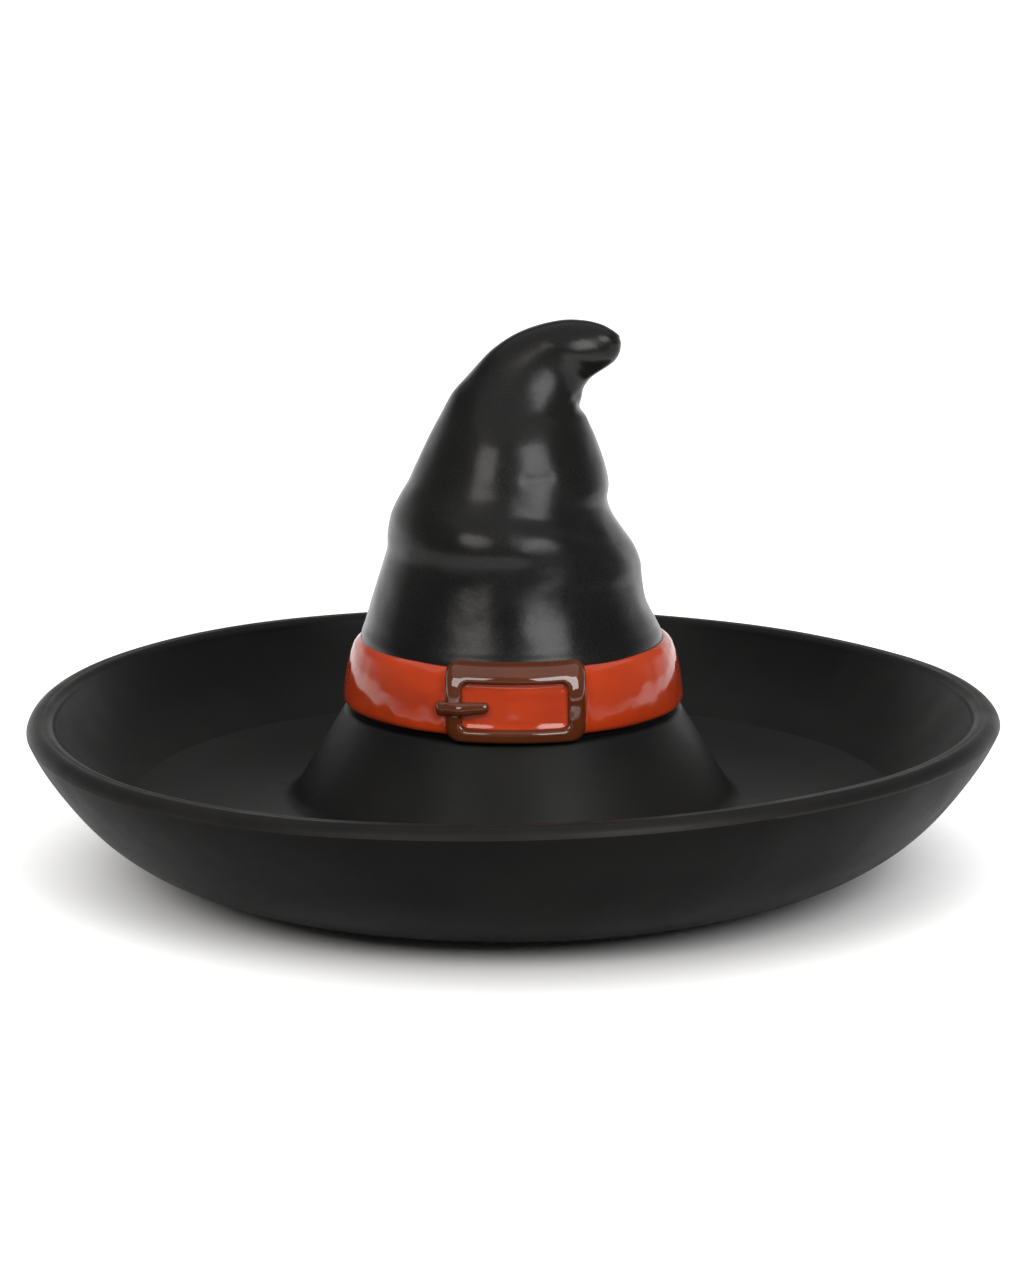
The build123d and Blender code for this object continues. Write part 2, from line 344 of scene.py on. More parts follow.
def satin_black_glaze(name, depth, roughness, grain, specular, under=0.0):
    """Matte black glaze: uneven fired tone, fine crystals, slow ripples and thin edges.

    Depth is how light the tone is, grain the height of the crystals in metres, and under how much
    painted shade darkens the glaze, and dulls its shine, where it faces down. Low level floors
    carry painted light, and outer edges are paler, partly from thinner glaze and partly as a
    painted highlight.
    """
    n = Nodes(name)
    facing = n.add("ShaderNodeSeparateXYZ")
    n.link(n.add("ShaderNodeTexCoord").outputs["Normal"], facing.inputs["Vector"])
    # painted shade: the tone goes towards black, and the shine is dulled, where the surface faces
    # down
    down = n.ramp(facing.outputs["Z"], -0.35, 0.0, under, 0.0)
    # painted light: level floors low down, such as the chip floor, get a lighter tone
    painted_floor_light = n.ramp(facing.outputs["Z"], 0.88, 0.99)
    painted_floor_light = n.math("MULTIPLY", painted_floor_light, n.ramp(n.axis("Z"), 0.027, 0.036, 0.85, 0.0))
    clouds = n.noise(16, detail=4)
    deep = (depth, depth, depth * 1.03)
    pale = (depth * 1.6, depth * 1.56, depth * 1.48)
    tone = n.mix(n.ramp(clouds, 0.35, 0.65), deep, pale)
    crystals = n.noise(1100, detail=2, roughness=0.6)
    tone = n.mix(n.ramp(crystals, 0.55, 0.75, 0.0, 0.28), tone, (0.018, 0.0176, 0.0172))
    # outer edges paler: partly the glaze thinning over them, partly a painted highlight, as along
    # the lip crest
    thin_edge_and_painted_highlight = n.ramp(n.pointiness(), 0.505, 0.56, 0.0, 0.55)
    tone = n.mix(thin_edge_and_painted_highlight, tone, (0.024, 0.021, 0.018))
    dust = n.specks(190, 0.05, seed=0.3)
    tone = n.mix(n.math("MULTIPLY", dust, 0.35), tone, (0.07, 0.068, 0.065))
    # painted shade on the surfaces that face down
    tone = n.mix(down, tone, (0.0, 0.0, 0.0))
    # the painted light on low level floors
    tone = n.mix(painted_floor_light, tone, (0.028, 0.0275, 0.027))
    shine = n.math("MULTIPLY", n.math("SUBTRACT", 1.0, down), specular)
    n.link(shine, n.shader.inputs["Specular IOR Level"])
    gloss = n.total(
        n.ramp(n.noise(28, detail=3), 0.3, 0.7, roughness - 0.05, roughness + 0.05),
        n.ramp(crystals, 0.3, 0.7, -0.02, 0.02),
    )
    n.bump(
        (n.noise(45, detail=1), 0.00035),
        (n.noise(260, detail=2), 0.00005),
        (crystals, grain),
        (n.specks(85, 0.045, seed=2.1), -0.00003),
    )
    return n.finish(tone, gloss, IOR=1.5)


def glossy_glaze(name, deep, body, thin, rough, specular=0.5):
    """Poured gloss glaze: thin and pale over edges, deep where it pools, softly rippled."""
    n = Nodes(name)
    clouds = n.noise(55, detail=3)
    tone = n.mix(n.ramp(clouds, 0.32, 0.68), body, tuple(0.86 * c for c in body))
    brush = n.noise(130, detail=3, stretch=(0.25, 0.25, 1.6))
    tone = n.mix(n.ramp(brush, 0.45, 0.75, 0.0, 0.3), tone, deep)
    edge = n.pointiness()
    tone = n.mix(n.ramp(edge, 0.50, 0.44, 0.0, 0.8), tone, deep)
    tone = n.mix(n.ramp(edge, 0.515, 0.58, 0.0, 0.6), tone, thin)
    pinholes = n.specks(120, 0.05, seed=1.7)
    tone = n.mix(n.math("MULTIPLY", pinholes, 0.5), tone, deep)
    gloss = n.ramp(n.noise(90, detail=2), 0.3, 0.7, rough - 0.03, rough + 0.03)
    n.bump(
        (n.noise(75, detail=1), 0.00013),
        (n.noise(420, detail=2), 0.00001),
        (pinholes, -0.00004),
    )
    return n.finish(tone, gloss, Specular_IOR_Level=specular, IOR=1.55)


def bare_clay(name):
    """Unglazed foot: pale clay, speckled, with rings from the grinding stone."""
    n = Nodes(name)
    tone = n.mix(n.ramp(n.noise(60, detail=4), 0.3, 0.7), (0.58, 0.50, 0.40), (0.68, 0.62, 0.52))
    tone = n.mix(n.ramp(n.noise(900, detail=2), 0.55, 0.7, 0.0, 0.6), tone, (0.40, 0.33, 0.25))
    tone = n.mix(n.specks(300, 0.12, seed=4.0), tone, (0.16, 0.12, 0.09))
    radius = n.add("ShaderNodeVectorMath", operation="LENGTH")
    n.link(n.place, radius.inputs[0])
    rings = n.add("ShaderNodeTexWave", wave_type="BANDS", bands_direction="X")
    rings.inputs["Scale"].default_value = 260.0
    rings.inputs["Distortion"].default_value = 1.5
    along = n.add("ShaderNodeCombineXYZ")
    n.link(radius.outputs["Value"], along.inputs["X"])
    n.link(along.outputs["Vector"], rings.inputs["Vector"])
    n.bump((rings.outputs["Fac"], 0.00003), (n.noise(1400, detail=3), 0.00006))
    rough = n.ramp(n.noise(500, detail=2), 0.3, 0.7, 0.78, 0.92)
    return n.finish(tone, rough, Specular_IOR_Level=0.3)


# the tray's down-facing surfaces get painted shade, by under
tray_black = satin_black_glaze("tray_satin_black", 0.0098, 0.44, 0.000012, 0.13, under=0.68)
lid_black = satin_black_glaze("lid_satin_black", 0.0068, 0.26, 0.000005, 0.28)
orange = glossy_glaze(
    "orange_gloss", (0.35, 0.020, 0.006), (0.65, 0.060, 0.011), (0.76, 0.14, 0.04), 0.09
)
brown = glossy_glaze(
    "brown_gloss", (0.062, 0.015, 0.005), (0.138, 0.032, 0.010), (0.18, 0.054, 0.020), 0.05, 0.65
)
clay = bare_clay("bare_clay")

# ------------------------------------------------------------------ tray

wall_arc = 78.0
wall_arc_height = 79.0
lip_crest_radius = 154.5
lip_inner = (150.8, 50.2)
wall_top, wall_bottom = 49.0, 1.02
foot_width = 8.0
foot_taper, foot_edge = 0.6, 0.8
floor_radius = 125.0
inner_bulge = 2.4
cone_foot = 73.5
cone_top = 55.2
shoulder = hub_height + 1.5  # the hub's top edge, fuller than the plain block
ease_lift = 0.9  # the floor curves up by this much where the wall starts
ease_reach = 8.5
rim_lift = 0.65  # the rim is a little higher all round than drawn
tilt = 0.9  # how much higher it is on the right than in the middle
nod = 0.55  # and at the front
twist = 1.5  # how far a fired rim is warped up and down, twice round
ruffle = 0.22  # and three times round
wander, wander_length = 0.4, 60.0  # irregular waviness, and how far apart its swells are
warp_onset = 1.16  # how late the warp sets in on the way out to the lip
slump, slump_height, slump_spread = 0.9, 31, 12  # the outer wall has sunk inwards halfway up


def warp(x, y, z):
    """The wall's slight unevenness: none at the hub and foot, full at the lip."""
    reach = math.hypot(x, y)
    share = max(0.0, (reach - foot_radius) / (rim_radius - foot_radius)) ** warp_onset
    angle = math.atan2(x, -y)
    lift = rim_lift + tilt * math.sin(angle) + nod * math.cos(angle) + twist * math.sin(2 * angle)
    lift += ruffle * math.cos(3 * angle)
    lift += noise.noise(Vector((x, y, 0)) / wander_length) * wander
    return x, y, z + share * lift


def wall_at(z, radius=wall_arc):
    """Point of the outer wall's arc, or of one inside it, at height z."""
    sunk = slump * math.exp(-(((z - slump_height) / slump_spread) ** 2))
    return Vector((foot_radius + math.sqrt(radius**2 - (wall_arc_height - z) ** 2) - sunk, z))


def eased(point):
    """Lifts a point near the corner of floor and wall, so that the one curves into the other."""
    away = (point.x - floor_radius) / ease_reach
    return Vector((point.x, point.y + ease_lift * math.exp(-(away**2))))


def tray_outline():
    """Hollow casting: its inside from the base's middle out, then its outside back to there."""
    under_end = (floor_radius + 1.5, under_floor)
    base_edge = foot_radius - 10
    base_underside = base_low.z + 0.8
    join_inner = wall_at(wall_join, wall_arc - skin)
    slope = (hub_height - floor_height) / (cone_foot - cone_top)
    shift = skin * math.hypot(1, slope) / slope - skin / slope
    inside = [Vector((0, base_high.z)), Vector((base_edge, base_high.z))]
    hollow_heights = (6, 8, 12, 17, 23, 30, 37)
    inside += [wall_at(z, wall_arc - skin) for z in hollow_heights]
    inside += [join_inner]
    inside += arc_through(under_end, join_inner, inner_bulge, 12)[::-1]
    inside += [
        Vector((cone_foot - shift, under_floor)),
        Vector((cone_top - shift, hub_height - skin)),
    ]
    cone = rounded(
        [
            (well_rim_radius, hub_height - skin, 0),
            (well_rim_radius, shoulder, 0.5),
            (cone_top, shoulder, 2.0),
            (cone_foot, floor_height, 6.0),
            (hub_foot_radius, floor_height, 0),
            (floor_radius, floor_height, 0),
        ],
        step=1.0,
    )
    crest = (lip_crest_radius, rim_height)
    lip = arc_points(lip_inner, (151.9, rim_height - 0.55), crest, 8)
    lip += arc_points(crest, (158.6, rim_height - 1.2), wall_at(wall_top), 10)
    wall_run, wall_steps = wall_top - wall_bottom, 110
    shares = [(k / wall_steps) ** 0.8 for k in range(1, wall_steps + 1)]
    wall = [wall_at(wall_top - wall_run * share) for share in shares]
    foot = [
        Vector((foot_radius, 1.0)),
        Vector((foot_radius, foot_height)),
        Vector((foot_radius - foot_width, foot_height)),
        Vector((base_edge, base_underside)),
    ]
    underside = subdivided([foot[-1], Vector((0, base_underside))], 4.0)[1:]
    inner_wall = arc_through((floor_radius, floor_height), lip_inner, inner_bulge, 60)
    top = [eased(p) for p in cone + inner_wall[1:]]
    return inside + top + lip[1:] + wall + foot + underside


tray = lathe("tray_casting", tray_outline(), segments=360, shape=warp)
settle(
    tray, "tray", "satin_black_glaze", tray_black,
    "chip_floor", "brim_inner", "brim_outer", "base", "hub",
)

foot = lathe(
    "foot_ring_bare",
    rounded(
        [
            (foot_radius - foot_width, foot_height, 0),
            (foot_radius - foot_width + foot_taper, 0, foot_edge),
            (foot_radius - foot_taper, 0, foot_edge),
            (foot_radius, foot_height, 0),
        ]
    ),
    segments=256,
)
settle(foot, "tray", "bare_clay", clay, "foot_ring")

well_mouth = 46.0
well_floor_radius = 43.0
well_floor = well_low.z + skin
well_blend = 12.0
well_edge = 0.9
well = lathe(
    "dip_well_cup",
    rounded(
        [
            (0, well_floor, 0),
            (well_floor_radius, well_floor, well_blend),
            (well_mouth, seat_height, well_edge),
            (well_rim_radius, seat_height, well_edge),
            (well_rim_radius, hub_height - skin, 0),
            (well_floor_radius + skin, well_low.z, well_blend + skin),
            (0, well_low.z, 0),
        ]
    ),
)
settle(well, "tray", "satin_black_glaze", tray_black, "dip_well")

# ------------------------------------------------------------------ crown

# Each station is a cut across the crown: its left and right outline points as seen from the
# front, (x, z), and how deep it is to the front and to the back.
stations = [
    ((-52.6, 56.0), (52.6, 56.0), 52.6, 52.6),
    ((-50.9, 66.7), (50.9, 66.7), 50.9, 50.9),
    ((-50.1, 77.4), (49.1, 77.4), 49.4, 49.2),
    ((-48.6, 82.3), (47.0, 82.3), 47.2, 47.2),
    ((-46.5, 89.0), (43.8, 89.0), 44.7, 44.8),
    ((-44.1, 97.0), (42.1, 97.0), 42.3, 42.8),
    ((-42.3, 102.7), (41.4, 102.2), 40.9, 41.6),
    ((-41.1, 107.2), (39.4, 107.2), 40.2, 40.4),
    ((-40.9, 112.2), (35.9, 112.5), 39.6, 38.8),
    ((-39.7, 118.2), (32.4, 118.2), 37.4, 36.4),
    ((-37.2, 123.7), (30.9, 123.2), 34.0, 34.0),
    ((-34.3, 129.0), (31.4, 128.3), 31.1, 31.8),
    ((-32.0, 134.3), (30.2, 134.3), 29.0, 29.8),
    ((-29.6, 139.6), (28.3, 139.6), 26.9, 27.6),
    ((-27.0, 144.9), (26.1, 144.9), 24.6, 25.6),
    ((-24.2, 150.1), (23.6, 149.7), 21.6, 23.2),
    ((-21.2, 155.4), (22.0, 153.1), 18.4, 20.8),
    ((-17.5, 160.7), (22.3, 156.5), 15.5, 18.4),
    ((-12.6, 166.1), (23.0, 159.9), 13.0, 16.2),
    ((-6.9, 172.1), (25.2, 162.9), 10.9, 14.2),
    ((0.1, 177.0), (28.1, 165.0), 9.9, 12.6),
    ((7.7, 180.1), (30.7, 166.7), 9.5, 11.2),
    ((15.8, 181.8), (32.9, 168.5), 8.1, 9.6),
    ((23.0, 181.7), (34.3, 170.6), 6.1, 7.6),
    ((28.4, 180.5), (34.9, 172.6), 4.8, 5.2),
    ((31.8, 178.8), (35.0, 174.5), 2.7, 2.9),
    ((33.4, 177.7), (34.6, 175.9), 1.2, 1.2),
]


def smooth_through(values, t):
    """Catmull-Rom value at t, a place along the list counted from 0."""
    i = min(int(t), len(values) - 2)
    f = t - i
    p1, p2 = values[i], values[i + 1]
    p0 = values[i - 1] if i else 2 * p1 - p2
    p3 = values[i + 2] if i + 2 < len(values) else 2 * p2 - p1
    return 0.5 * (
        2 * p1 + (p2 - p0) * f + (2 * p0 - 5 * p1 + 4 * p2 - p3) * f * f
        + (3 * p1 - 3 * p2 + p3 - p0) * f**3
    )


tracks = list(zip(*[(*left, *right, front, back) for left, right, front, back in stations]))


def crown_point(t, angle):
    """Point of the smooth crown at station t; angle 0 is the front, positive to the right."""
    left_x, left_z, right_x, right_z, front, back = (smooth_through(track, t) for track in tracks)
    middle = Vector(((left_x + right_x) / 2, 0, (left_z + right_z) / 2))
    across = Vector(((right_x - left_x) / 2, 0, (right_z - left_z) / 2))
    toward = math.cos(angle)
    depth = front if toward > 0 else back
    return middle + across * math.sin(angle) + Vector((0, -depth * toward, 0))


# Folds of the slouched crown. Each is a path of (angle in degrees, height) points on the
# surface, with its width and its depth (negative presses in). A fold fades towards its ends.
folds = [
    # the ring that the upper part slumps onto: its crest, and the hollow under it
    (((-50, 115.6), (-20, 115.4), (0, 115.2), (20, 115.4), (40, 111), (62, 105)), 4.4, 0.2),
    (((-30, 108.6), (-14, 108.4), (0, 108.2), (20, 107.6), (42, 103)), 4.6, -0.25),
    # the fold that runs down over the right side, and the hollow above it
    (((14, 118.6), (34, 115), (52, 110), (74, 104.5)), 3.8, 0.6),
    (((0, 124), (22, 121.6), (44, 118.2), (66, 117)), 3.4, -0.6),
    # finger dent above it
    (((4, 134.6), (16, 133.8), (30, 135)), 1.8, -0.25),
    # crease under the bend of the tip, and its lower lip
    (((104, 152.0), (78, 154.8), (56, 159.6)), 1.8, -0.5),
    (((100, 148.6), (74, 151.0), (50, 155.6)), 2.4, 0.35),
    # kink where the tip starts to lean over
    (((-104, 164.0), (-78, 162.8), (-56, 161.4)), 2.6, -0.25),
    (((-104, 158.2), (-76, 157.4), (-52, 156.4)), 2.8, 0.2),
    # the ring's run round the back
    (((98, 112), (135, 115), (175, 117), (215, 116), (262, 115)), 4.2, 0.9),
    (((100, 121), (140, 124), (180, 126), (220, 125), (260, 124)), 4.2, -0.9),
    (((110, 105), (150, 107), (190, 108), (230, 107)), 4.0, -0.6),
    (((150, 146), (185, 150), (225, 148)), 3.2, -0.6),
]


fold_fade = 0.28  # the part of a fold's length, at each end, over which it fades


def fold_height(angle, height, radius):
    """Sum of the folds at a place on the crown, in millimetres."""
    total = 0.0
    for path, width, depth in folds:
        total += depth * fold_share(path, width, angle, height, radius)
    return total


def fold_share(path, width, angle, height, radius):
    """How near a place is to a fold's path, 1 on it, fading towards the path's ends."""
    best, where = 1e9, 0.0
    lengths = [0.0]
    points = [Vector((math.radians(degrees) * radius, z)) for degrees, z in path]
    middle = math.radians(path[0][0] + path[-1][0]) / 2
    angle = middle + math.remainder(angle - middle, math.tau)
    for a, b in zip(points, points[1:]):
        lengths.append(lengths[-1] + (b - a).length)
    here = Vector((angle * radius, height))
    for i, (a, b) in enumerate(zip(points, points[1:])):
        run = b - a
        f = max(0.0, min(1.0, (here - a).dot(run) / run.length_squared))
        distance = (here - a - run * f).length
        if distance < best:
            best, where = distance, lengths[i] + run.length * f
    fade = min(1.0, min(where, lengths[-1] - where) / (fold_fade * lengths[-1]))
    fade = fade * fade * (3 - 2 * fade)
    return fade * math.exp(-((best / width) ** 2))


def crown_frame(t, angle):
    """Point of the smooth crown with the way out of it there, and how wide it bends there."""
    turn, climb = 0.01, 0.02
    last = len(stations) - 1
    p = crown_point(t, angle)
    beside = crown_point(t, angle + turn) - crown_point(t, angle - turn)
    above = crown_point(min(last, t + climb), angle) - crown_point(max(0, t - climb), angle)
    radius = max(8.0, (beside.length / (2 * turn) + abs(p.y)) / 2)
    return p, beside.cross(above).normalized(), radius


def ripple_height(p):
    """Hand-smoothed clay's slow ripples: none at the band, and fewer towards the tip."""
    ripple = noise.noise(p / 17.0) * 0.42 + noise.noise(p / 7.0) * 0.09
    ripple *= max(0.3, min(1.0, (168.0 - p.z) / 25.0))
    return ripple * max(0.0, min(1.0, (p.z - band_top) / 8.0))


def crown_mesh():
    """Hollow crown: its outside from the foot up over the tip, its inside back down."""
    around, outside_steps, inside_steps = 240, 210, 60
    hollow_end = 20  # the station where the hollow ends below the tip
    outside, inside = [], []
    for j in range(outside_steps + 1):
        t = (len(stations) - 1) * j / outside_steps
        ring = []
        for k in range(around):
            angle = math.tau * k / around
            p, out, radius = crown_frame(t, angle)
            lift = fold_height(angle, p.z, radius) if p.z > band_top else 0.0
            ring.append(p + out * (lift + ripple_height(p)))
        outside.append(ring)
    for j in range(inside_steps + 1):
        t = hollow_end * (1 - j / inside_steps)
        ring = []
        for k in range(around):
            p, out, radius = crown_frame(t, math.tau * k / around)
            inner = p - out * skin
            inner.z = max(inner.z, seat_height)
            ring.append(inner)
        inside.append(ring)
    tip = sum(outside[-1], Vector()) / around + Vector((0.5, 0, 0))
    top = sum(inside[0], Vector()) / around + Vector((0.6, 0, 1.2))
    shell = [[tip]] + outside[::-1] + inside[::-1] + [[top]]
    return skin_rings("crown_lid", shell, sharp=50)


crown = crown_mesh()
settle(crown, "lid", "satin_black_glaze", lid_black, "crown")

collar_inner = 42.0
collar_radius = 45.2
collar = lathe(
    "lid_collar_ring",
    rounded(
        [
            (collar_inner, collar_high.z, 0.6),
            (collar_inner, collar_low.z, 1.2),
            (collar_radius, collar_low.z, 1.2),
            (collar_radius, seat_height, 0.5),
            (collar_high.x, seat_height, 0),
            (collar_high.x - 0.6, collar_high.z, 0),
            (collar_inner + 0.7, collar_high.z, 0),
        ]
    ),
)
settle(collar, "lid", "satin_black_glaze", lid_black, "lid_collar")

# ------------------------------------------------------------------ band

# The band's outer face from its hidden bottom edge up: how far inside its greatest radius, and
# how high over the seat.
band_outline = [
    (2.4, 0.05), (1.1, 0.25), (0.25, 1.0), (0, 2.4), (0.35, 6.0), (1.0, 10.5), (1.95, 15.0),
    (3.3, 18.6), (4.4, 20.2), (5.6, 21.1), (6.5, 21.3), (7.4, 20.6),
]
band_radii = [crown_foot_radius - 1.0] + [band_radius - inwards for inwards, up in band_outline]
band_heights = [seat_height + 0.4] + [seat_height + up for inwards, up in band_outline]


def band_unevenness(angle, z):
    """Hand-laid strip: its face is a little fuller here and thinner there."""
    around = Vector((math.sin(angle), math.cos(angle), 0)) * 3.0
    slow = noise.noise(around) * 0.5
    fine = noise.noise(Vector((around.x * 4, around.y * 4, z / 9.0))) * 0.14
    return slow + fine


def band_edge_wave(angle):
    """How far the band's top edge wanders up and down."""
    around = Vector((math.sin(angle), math.cos(angle), 4.0)) * 2.2
    return noise.noise(around) * 0.7


# ------------------------------------------------------------------ buckle outline

buckle_center = 0.8
buckle_half_width = 22.6
frame_left, frame_right = buckle_center - buckle_half_width, buckle_center + buckle_half_width
# left, right, bottom, top and corner radius of the frame and of its window
frame_outline = (frame_left, frame_right, 54.3, 79.4, 4.6)
window = (-16.1, 17.2, 59.2, 73.0, 2.2)
buckle_rise = 3.0  # how far the middle of the bar stands out from its back

# Where the buckle's back lies, as (radius, height): on the band, then leaning on the crown.
buckle_back = [
    (55.6, 54.0), (55.5, 58.0), (55.3, 62.0), (55.0, 66.0), (54.6, 70.0),
    (53.3, 74.0), (50.8, 78.0), (47.2, 82.0),
]
buckle_back_radii = [r for r, z in buckle_back]


def buckle_back_radius(z):
    """Distance of the buckle's back from the lid's axis, at height z."""
    t = (z - buckle_back[0][1]) / (buckle_back[1][1] - buckle_back[0][1])
    return smooth_through(buckle_back_radii, max(0.0, min(len(buckle_back) - 1.001, t)))


def rounded_rectangle(left, right, bottom, top, corner, per_corner=15, per_side=36):
    """Closed loop of (x, z) points, anticlockwise from the start of the lower right corner."""
    centres = [
        (right - corner, bottom + corner, -90),
        (right - corner, top - corner, 0),
        (left + corner, top - corner, 90),
        (left + corner, bottom + corner, 180),
    ]
    corners = []
    for x, z, first in centres:
        angles = [math.radians(first + 90 * k / (per_corner - 1)) for k in range(per_corner)]
        arc = [Vector((x + corner * math.cos(a), z + corner * math.sin(a))) for a in angles]
        corners.append(arc)
    loop = []
    for arc, following in zip(corners, corners[1:] + corners[:1]):
        a, b = arc[-1], following[0]
        loop += arc + [a.lerp(b, k / per_side) for k in range(1, per_side)]
    return loop


def rectangle_distance(x, z, left, right, bottom, top, corner):
    """Signed distance to a rounded rectangle's edge, negative inside."""
    dx = abs(x - (left + right) / 2) - (right - left) / 2 + corner
    dz = abs(z - (bottom + top) / 2) - (top - bottom) / 2 + corner
    outside = math.hypot(max(dx, 0), max(dz, 0))
    return outside + min(max(dx, dz), 0) - corner


def pooled_glaze(x, z):
    """Glaze that has crept up against the frame, inside its window and round its outside."""
    fullest, spread = 0.55, 0.9
    away = max(0, -rectangle_distance(x, z, *window), rectangle_distance(x, z, *frame_outline))
    return fullest * math.exp(-((away / spread) ** 1.3))


def band_mesh():
    """The band, with a finer mesh at the front where the glaze meets the buckle."""
    across = 96
    front, rest = 190, 210  # how many columns lie in the finer part, and in the rest
    fine = math.radians(32)
    pooling_reach = 0.62  # the glaze pools round the buckle within this angle of the front
    angles = [-fine + 2 * fine * k / front for k in range(front)]
    angles += [fine + (math.tau - 2 * fine) * k / rest for k in range(rest)]
    dense = []
    for k in range(across + 1):
        t = (len(band_radii) - 1) * k / across
        dense.append((smooth_through(band_radii, t), smooth_through(band_heights, t)))
    rings = []
    for i, (r, z) in enumerate(dense):
        up = (z - seat_height) / (band_top - seat_height)
        # the hidden edges stay plain, and the face between them is uneven
        face = max(0.0, min(1.0, (i - 6) / 14)) * max(0.0, min(1.0, (across - 4 - i) / 10))
        ring = []
        for angle in angles:
            signed = math.remainder(angle, math.tau)
            reach = r + band_unevenness(signed, z) * face
            if abs(signed) < pooling_reach:
                reach += pooled_glaze(reach * math.sin(signed), z) * face
            height = z + band_edge_wave(signed) * max(0.0, up) ** 6
            ring.append((reach * math.sin(angle), -reach * math.cos(angle), height))
        rings.append(ring)
    return skin_rings("hat_band_relief", rings, closed=True, sharp=60)


band = band_mesh()
settle(band, "lid", "orange_glaze", orange, "hat_band")

# ------------------------------------------------------------------ buckle


def on_front(x, z, rise):
    """Point rise outside the lid's front face, at x and z."""
    radius = buckle_back_radius(z) + rise
    return Vector((x, -math.sqrt(radius**2 - x**2), z))


def frame_mesh():
    """Buckle frame: a soft, rounded bar swept between its outer and window outlines."""
    across, behind = 26, 6
    edge, back = -0.8, -1.4  # rise of the bar's edges and of its back, sunk into the band
    rings = []
    outlines = zip(rounded_rectangle(*frame_outline), rounded_rectangle(*window))
    for i, (a, b) in enumerate(outlines):
        hand = noise.noise(Vector((i * 0.05, 3.0, 1.0))) * 0.3
        ring = []
        for k in range(across + 1):
            q = k / across
            side = abs(2 * q - 1)
            dome = math.sqrt(1 - side**4)
            flat = a.lerp(b, q)
            flat = flat + (b - a).normalized() * hand * (1 - side**2)
            rise = edge + (buckle_rise - edge + hand * 0.6) * dome
            ring.append(on_front(flat.x, flat.y, rise))
        for k in range(1, behind):
            flat = b.lerp(a, k / behind)
            ring.append(on_front(flat.x, flat.y, back))
        rings.append(ring)
    return skin_rings("buckle_frame_relief", rings, closed=True, sharp=75)


buckle = frame_mesh()
settle(buckle, "lid", "brown_glaze", brown, "buckle_frame")


def prong_mesh():
    """Prong: a tapered finger that climbs over the left bar and sinks to the band inside it."""
    # x along the prong, and there its height z, its rise off the band, half-width, half-depth
    spine = [
        (-24.9, 64.9, 0.9, 1.4, 1.0),
        (-23.8, 64.9, 1.5, 2.35, 1.7),
        (-22.0, 65.0, 1.9, 2.2, 1.7),
        (-20.0, 65.2, 2.9, 2.1, 1.7),
        (-18.0, 65.4, 3.4, 2.15, 1.7),
        (-15.8, 65.6, 3.1, 2.2, 1.7),
        (-13.2, 65.8, 2.4, 2.1, 1.6),
        (-10.6, 65.9, 1.9, 1.9, 1.5),
        (-8.8, 66.0, 1.5, 1.75, 1.35),
        (-7.7, 66.0, 1.1, 1.3, 1.0),
    ]
    around, steps = 28, 72
    end_steps, blunt = 5, 0.12  # each end rounds off over so many steps, down to this share
    rings = []
    for j in range(steps + 1):
        t = (len(spine) - 1) * j / steps
        x, z, rise, half_width, half_depth = (smooth_through(track, t) for track in zip(*spine))
        inwards = min(1.0, min(j, steps - j) / end_steps)
        girth = max(blunt, math.sqrt(1 - (1 - inwards) ** 2))
        ring = []
        for k in range(around):
            a = math.tau * k / around
            dz = half_width * girth * math.sin(a)
            out = half_depth * girth * math.cos(a)
            ring.append(on_front(x, z + dz, rise + out))
        rings.append(ring)
    first = sum((Vector(p) for p in rings[0]), Vector()) / around
    last = sum((Vector(p) for p in rings[-1]), Vector()) / around
    return skin_rings("buckle_prong_relief", [[first]] + rings + [[last]], sharp=80)


prong = prong_mesh()
settle(prong, "lid", "brown_glaze", brown, "buckle_prong")

# ------------------------------------------------------------------ floor, lights, camera


def floor_sheet():
    """Plain pale floor, far wider than the view, with a glow that is least under the hat.

    The glow is stronger far behind the hat, and weaker to the sides in front of it.
    """
    half = 9.0
    bm = bmesh.new()
    corners = [(-half, -half, 0), (half, -half, 0), (half, half, 0), (-half, half, 0)]
    bm.faces.new([bm.verts.new(c) for c in corners])
    mesh = bpy.data.meshes.new("floor")
    bm.to_mesh(mesh)
    bm.free()
    n = Nodes("floor_white")
    tone = n.mix(n.noise(3, detail=2), (0.90, 0.90, 0.90), (0.92, 0.92, 0.92))
    rough = n.ramp(n.noise(20), 0, 1, 0.85, 0.95)
    away = n.add("ShaderNodeVectorMath", operation="LENGTH")
    n.link(n.place, away.inputs[0])
    near = n.ramp(away.outputs["Value"], 0.10, 0.18, 0.0, 0.75)
    far = n.ramp(away.outputs["Value"], 0.45, 1.10, 0.0, 0.3)
    side = n.ramp(n.axis("Y"), -0.35, 0.25, 0.0, 1.0)
    beside = n.ramp(n.math("ABSOLUTE", n.axis("X"), 0.0), 0.20, 0.50)
    ahead = n.ramp(n.axis("Y"), -0.05, 0.35, 1.0, 0.0)
    dark = n.math("MULTIPLY", n.math("MULTIPLY", beside, ahead), -0.75)
    near = n.math("MULTIPLY", near, n.math("ADD", dark, 1.0))
    glow = n.total(near, n.math("MULTIPLY", far, side))
    n.link(glow, n.shader.inputs["Emission Strength"])
    n.shader.inputs["Emission Color"].default_value = (1.0, 1.0, 1.0, 1.0)
    mesh.materials.append(n.finish(tone, rough, Specular_IOR_Level=0.1))
    floor = add_object("floor", mesh)


light_distance = 1.6


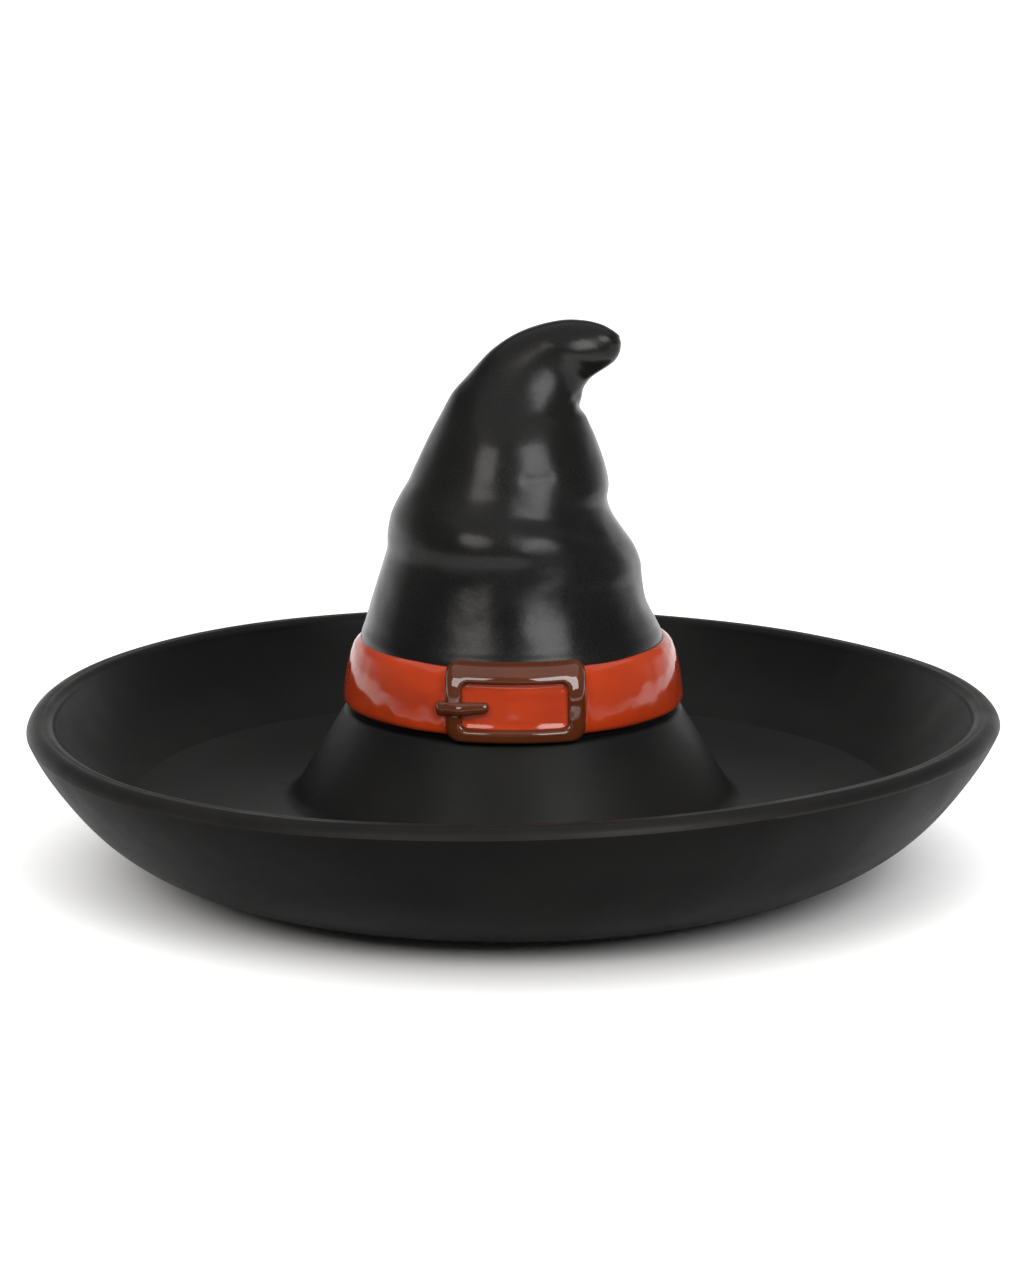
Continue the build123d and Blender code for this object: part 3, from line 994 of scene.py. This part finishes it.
def softbox(name, azimuth, elevation, wide, high, radiance, color):
    """Rectangular soft light aimed at the hat, as wide and high as it looks from there.

    Azimuth 0 is the camera's side, and positive is to the right.
    """
    light = bpy.data.lights.new(name, "AREA")
    light.shape = "RECTANGLE"
    light.size = 2 * light_distance * math.tan(math.radians(wide / 2))
    light.size_y = 2 * light_distance * math.tan(math.radians(high / 2))
    light.energy = radiance * math.pi * light.size * light.size_y
    light.color = color
    obj = bpy.data.objects.new(name, light)
    a, e = math.radians(azimuth), math.radians(elevation)
    away = Vector((math.sin(a) * math.cos(e), -math.cos(a) * math.cos(e), math.sin(e)))
    obj.location = Vector((0, 0, 0.09)) + away * light_distance
    obj.rotation_mode = "QUATERNION"
    obj.rotation_quaternion = away.to_track_quat("Z", "Y")
    bpy.context.scene.collection.objects.link(obj)


def world_light():
    """Dim room, with a pale backdrop low behind the hat."""
    world = bpy.data.worlds.new("studio")
    bpy.context.scene.world = world
    world.use_nodes = True
    nodes, links = world.node_tree.nodes, world.node_tree.links

    def step(source, low, high, out_low, out_high):
        node = nodes.new("ShaderNodeMapRange")
        node.interpolation_type = "SMOOTHSTEP"
        for socket, value in zip(list(node.inputs)[1:5], (low, high, out_low, out_high)):
            socket.default_value = value
        links.new(source, node.inputs["Value"])
        return node.outputs["Result"]

    axes = nodes.new("ShaderNodeSeparateXYZ")
    links.new(nodes.new("ShaderNodeTexCoord").outputs["Generated"], axes.inputs[0])
    behind = step(axes.outputs["Y"], 0.15, 0.80, 0.0, 0.9)
    low = step(axes.outputs["Z"], 0.12, 0.42, 1.0, 0.0)
    glow = nodes.new("ShaderNodeMath")
    glow.operation = "MULTIPLY_ADD"
    links.new(behind, glow.inputs[0])
    links.new(low, glow.inputs[1])
    glow.inputs[2].default_value = 0.14
    back = nodes["Background"]
    back.inputs["Color"].default_value = (1.0, 1.0, 1.0, 1.0)
    links.new(glow.outputs[0], back.inputs["Strength"])


floor_sheet()
world_light()
# name, azimuth, elevation, width and height in degrees, radiance, colour
for name, azimuth, elevation, wide, high, radiance, color in (
    ("softbox_right", 31, 30, 28, 28, 6.0, (1.0, 0.99, 0.985)),
    ("softbox_left", -32, 31, 26, 21, 4.7, (1.0, 0.97, 0.92)),
    ("top_light", 0, 90, 84, 84, 0.45, (1.0, 1.0, 1.0)),
):
    softbox(name, azimuth, elevation, wide, high, radiance, color)

camera_distance = 1.5
camera_elevation = math.radians(13.17)
pivot = Vector((0, 0, 0.060))
aim = Vector((0.0001, 0.00355, 0.0749))
camera_data = bpy.data.cameras.new("camera")
camera_data.lens = 128.0
camera_data.sensor_width = 36.0
camera = bpy.data.objects.new("camera", camera_data)
camera.location = pivot + camera_distance * Vector(
    (0, -math.cos(camera_elevation), math.sin(camera_elevation))
)
camera.rotation_mode = "QUATERNION"
camera.rotation_quaternion = (aim - camera.location).to_track_quat("-Z", "Y")
camera_data.clip_end = 50
bpy.context.scene.collection.objects.link(camera)
bpy.context.scene.camera = camera

bpy.context.scene.view_settings.view_transform = "Standard"
bpy.context.scene.view_settings.look = "None"
